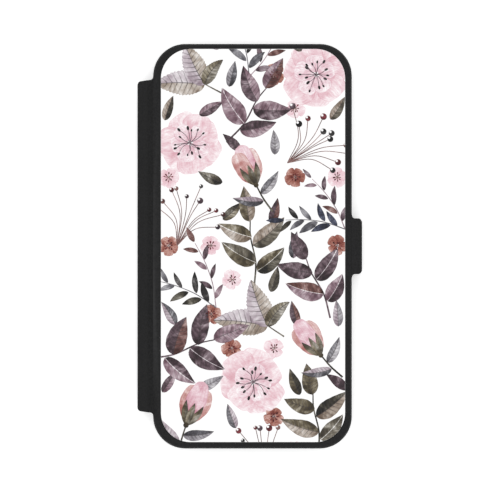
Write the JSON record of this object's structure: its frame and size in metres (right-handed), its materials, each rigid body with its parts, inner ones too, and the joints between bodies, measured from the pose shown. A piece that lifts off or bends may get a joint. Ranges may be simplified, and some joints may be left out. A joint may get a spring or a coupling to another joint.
{
  "type": "phone case",
  "caption": "Book-style leather wallet for a phone: printed front cover, soft folding spine, magnetic side strap, moulded phone tray, camera window and card pockets.",
  "frame": {"origin": "middle of the outline in X and Y, at the underside of the strap's tip", "axes": "+X across the covers from the spine to the strap, +Y along the covers to the phone's top, +Z from the back cover up to the printed front cover"},
  "size_m": [0.085, 0.1538, 0.0185],
  "materials": {
    "leather": "fine-grained matte black synthetic leather",
    "print": "white panel with a matte watercolour print",
    "board": "grey board",
    "lining": "black microfibre",
    "pocket_leather": "fine-grained matte black synthetic leather",
    "flexible_shell": "satin black flexible shell",
    "steel": "plated steel",
    "adhesive": "double-sided tape"
  },
  "bodies": {
    "back": {"back_skin": "leather", "back_board": "board", "back_lining": "lining", "back_keeper": "steel", "tray_adhesive": "adhesive", "phone_tray": "flexible_shell"},
    "volume_up": {"volume_up_button": "flexible_shell"},
    "volume_down": {"volume_down_button": "flexible_shell"},
    "side_key": {"side_button": "flexible_shell"},
    "spine_lower": {"spine_skin_lower": "leather", "spine_lining_lower": "lining"},
    "spine_upper": {"spine_skin_upper": "leather", "spine_lining_upper": "lining"},
    "front_cover": {"front_skin": "leather", "print_panel": "print", "front_board": "board", "front_lining": "lining", "note_pocket": "pocket_leather", "card_pocket_1": "pocket_leather", "card_pocket_2": "pocket_leather", "card_pocket_3": "pocket_leather", "strap_root_lining": "lining"},
    "strap_bridge": {"strap_bridge_skin": "leather", "strap_bridge_lining": "lining"},
    "strap_tip": {"strap_tip_skin": "leather", "strap_tip_lining": "lining", "strap_magnet": "steel"}
  },
  "joints": [
    {"name": "spine_fold_low", "type": "hinge", "parent": "back", "child": "spine_lower", "pos_m": [-0.03772, 0, 0.00275], "axis": [0, -1, 0], "range_deg": [0, 118], "deforming": ["strap_tip_skin", "strap_tip_lining", "strap_magnet"]},
    {"name": "spine_fold_middle", "type": "hinge", "parent": "spine_lower", "child": "spine_upper", "pos_m": [-0.04208, 0, 0.0103], "axis": [0, -1, 0], "range_deg": [0, 118]},
    {"name": "spine_fold_high", "type": "hinge", "parent": "spine_upper", "child": "front_cover", "pos_m": [-0.03772, 0, 0.01785], "axis": [0, -1, 0], "range_deg": [0, 118]},
    {"name": "strap_fold_top", "type": "hinge", "parent": "front_cover", "child": "strap_bridge", "pos_m": [0.04152, 0, 0.01729], "axis": [0, -1, 0], "range_deg": [0, 90]},
    {"name": "strap_fold_low", "type": "hinge", "parent": "strap_bridge", "child": "strap_tip", "pos_m": [0.04152, 0, 0.00111], "axis": [0, -1, 0], "range_deg": [0, 90]},
    {"name": "volume_up_press", "type": "slide", "parent": "back", "child": "volume_up", "axis": [1, 0, 0], "range_m": [0, 0.0004], "stiffness_N_per_m": 1500, "springref_m": -0.0002},
    {"name": "volume_down_press", "type": "slide", "parent": "back", "child": "volume_down", "axis": [1, 0, 0], "range_m": [0, 0.0004], "stiffness_N_per_m": 1500, "springref_m": -0.0002},
    {"name": "side_press", "type": "slide", "parent": "back", "child": "side_key", "axis": [-1, 0, 0], "range_m": [0, 0.0004], "stiffness_N_per_m": 1500, "springref_m": -0.0002}
  ],
  "couplings": [
    {"joint": "spine_fold_middle", "follows": "spine_fold_low", "ratio": 1},
    {"joint": "spine_fold_high", "follows": "spine_fold_low", "ratio": 1}
  ]
}
